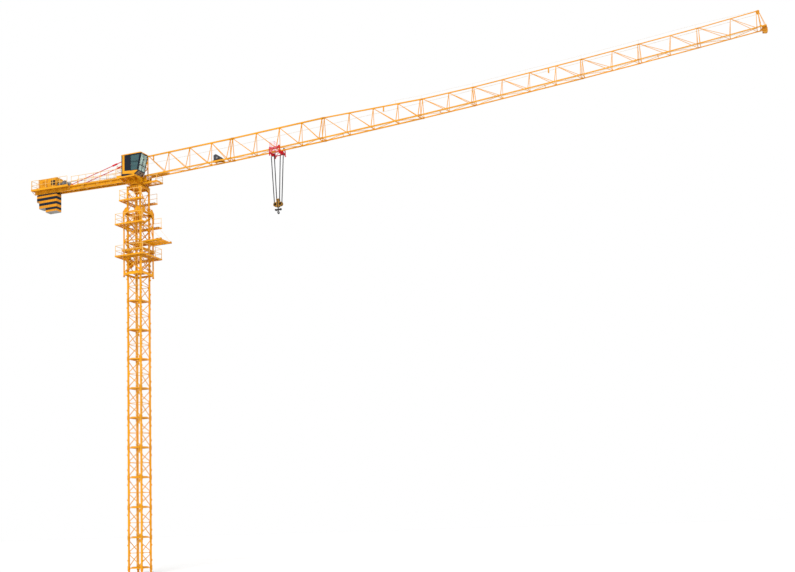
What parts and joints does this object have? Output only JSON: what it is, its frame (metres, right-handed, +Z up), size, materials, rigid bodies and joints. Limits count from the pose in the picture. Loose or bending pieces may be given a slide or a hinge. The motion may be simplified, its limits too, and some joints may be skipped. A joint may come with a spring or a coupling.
{
  "type": "flat-top tower crane, scale model 1:10",
  "caption": "Flat-top tower crane on a lattice mast with climbing cage, cab, cambered jib, trolley with hook block, counter-jib and counterweights; scale model 1:10.",
  "frame": {"origin": "centre of the foundation frame's underside", "axes": "+X along the jib, -Y towards the cab's side, +Z up the mast"},
  "size_m": [7.517, 0.378, 4.555],
  "materials": {
    "crane_yellow": "satin",
    "stripe_navy": "satin",
    "cab_navy": "satin",
    "cab_glass": "gloss",
    "signal_red": "satin",
    "machinery_grey": "satin",
    "rope_steel": "matte",
    "hook_black": "satin",
    "block_yellow": "satin"
  },
  "bodies": {
    "mast": {"foundation_frame": "crane_yellow", "mast_legs": "crane_yellow", "mast_bracing_cab_side": "crane_yellow", "mast_bracing_jib_side": "crane_yellow", "mast_bracing_far_side": "crane_yellow", "mast_bracing_rear_side": "crane_yellow", "mast_ladder": "crane_yellow", "cage_legs": "crane_yellow", "cage_bracing": "crane_yellow", "cage_bottom_ring": "crane_yellow", "cage_top_ring": "crane_yellow", "cage_lower_platform": "crane_yellow", "cage_upper_platform": "crane_yellow", "mast_top_platform": "crane_yellow", "platform_rails": "crane_yellow", "introduction_beams": "crane_yellow", "cage_mid_ring": "crane_yellow", "climbing_cylinder": "machinery_grey", "climbing_traverse": "machinery_grey", "mast_rest_platforms": "crane_yellow", "slewing_support": "crane_yellow", "slewing_ring_lower": "crane_yellow"},
    "slewing_top": {"turntable": "crane_yellow", "tower_head": "crane_yellow", "cab_platform": "crane_yellow", "cab_body": "cab_navy", "cab_glass": "cab_glass", "cab_roof": "crane_yellow", "service_platform": "crane_yellow", "jib_section_1": "crane_yellow", "jib_section_2": "crane_yellow", "jib_section_3": "crane_yellow", "jib_section_4": "crane_yellow", "jib_section_5": "crane_yellow", "jib_section_6": "crane_yellow", "jib_section_7": "crane_yellow", "jib_section_8": "crane_yellow", "jib_tip": "crane_yellow", "trolley_winch": "machinery_grey", "counter_jib_beams": "crane_yellow", "counter_jib_deck": "crane_yellow", "counter_jib_rails": "crane_yellow", "tie_rods": "signal_red", "hoist_winch": "machinery_grey", "winch_housing": "crane_yellow", "counterweights": "stripe_navy"},
    "hoist_drum": {"hoist_drum": "machinery_grey"},
    "trolley": {"trolley_frame": "signal_red", "trolley_wheels": "machinery_grey", "trolley_basket": "signal_red", "hoist_ropes": "rope_steel"},
    "hook_block": {"hook_block": "block_yellow", "hook_sheaves": "machinery_grey"},
    "hook": {"hook": "hook_black"}
  },
  "joints": [
    {"name": "slew", "type": "hinge", "parent": "mast", "child": "slewing_top", "pos_m": [0, 0, 3.977], "axis": [0, 0, 1], "range_deg": [-540, 540]},
    {"name": "trolley_travel", "type": "hinge", "parent": "slewing_top", "child": "trolley", "pos_m": [-1.2765, 0, 84.42], "axis": [0, -1, 0], "range_deg": [-0.87, 3.14]},
    {"name": "hoist", "type": "slide", "parent": "trolley", "child": "hook_block", "axis": [0, 0, 1], "range_m": [-3.37, 0.3], "deforming": ["hoist_ropes"]},
    {"name": "hook_swivel", "type": "hinge", "parent": "hook_block", "child": "hook", "pos_m": [1.628, 0, 3.515], "axis": [0, 0, 1], "continuous": true},
    {"name": "hoist_drum_turn", "type": "hinge", "parent": "slewing_top", "child": "hoist_drum", "pos_m": [-0.912, 0, 4.13306], "axis": [0, 1, 0], "continuous": true}
  ]
}
